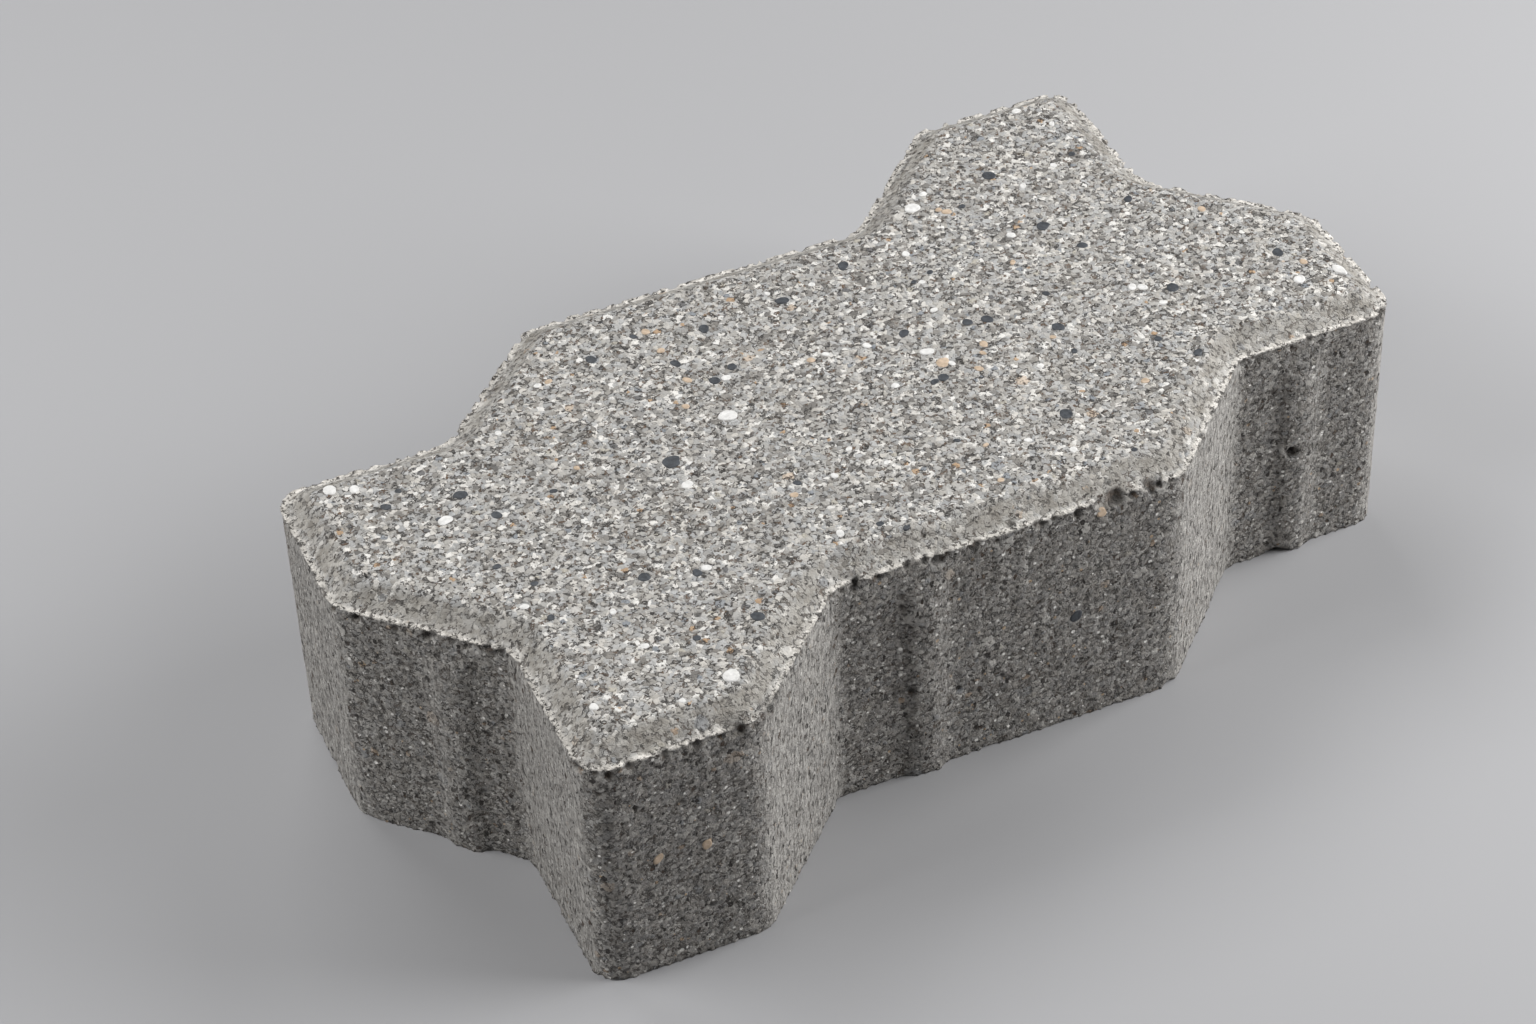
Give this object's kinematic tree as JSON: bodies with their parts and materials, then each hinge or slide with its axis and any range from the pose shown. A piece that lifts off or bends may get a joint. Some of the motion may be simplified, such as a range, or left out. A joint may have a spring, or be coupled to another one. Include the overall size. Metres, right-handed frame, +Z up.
{
  "type": "concrete paving stone",
  "caption": "Interlocking zigzag concrete paving stone with a sloped crown round its wearing face and vertical spacer ribs on its walls.",
  "frame": {"origin": "middle of the bed face, on the floor that the stone lies on", "axes": "+X along the stone's length, +Y across it, +Z up towards the wearing face"},
  "size_m": [0.241, 0.1284, 0.065],
  "materials": {
    "concrete": "rough pressed concrete with fine grey, white and dark aggregate showing"
  },
  "bodies": {
    "root": {"paving_stone": "concrete"}
  },
  "joints": []
}
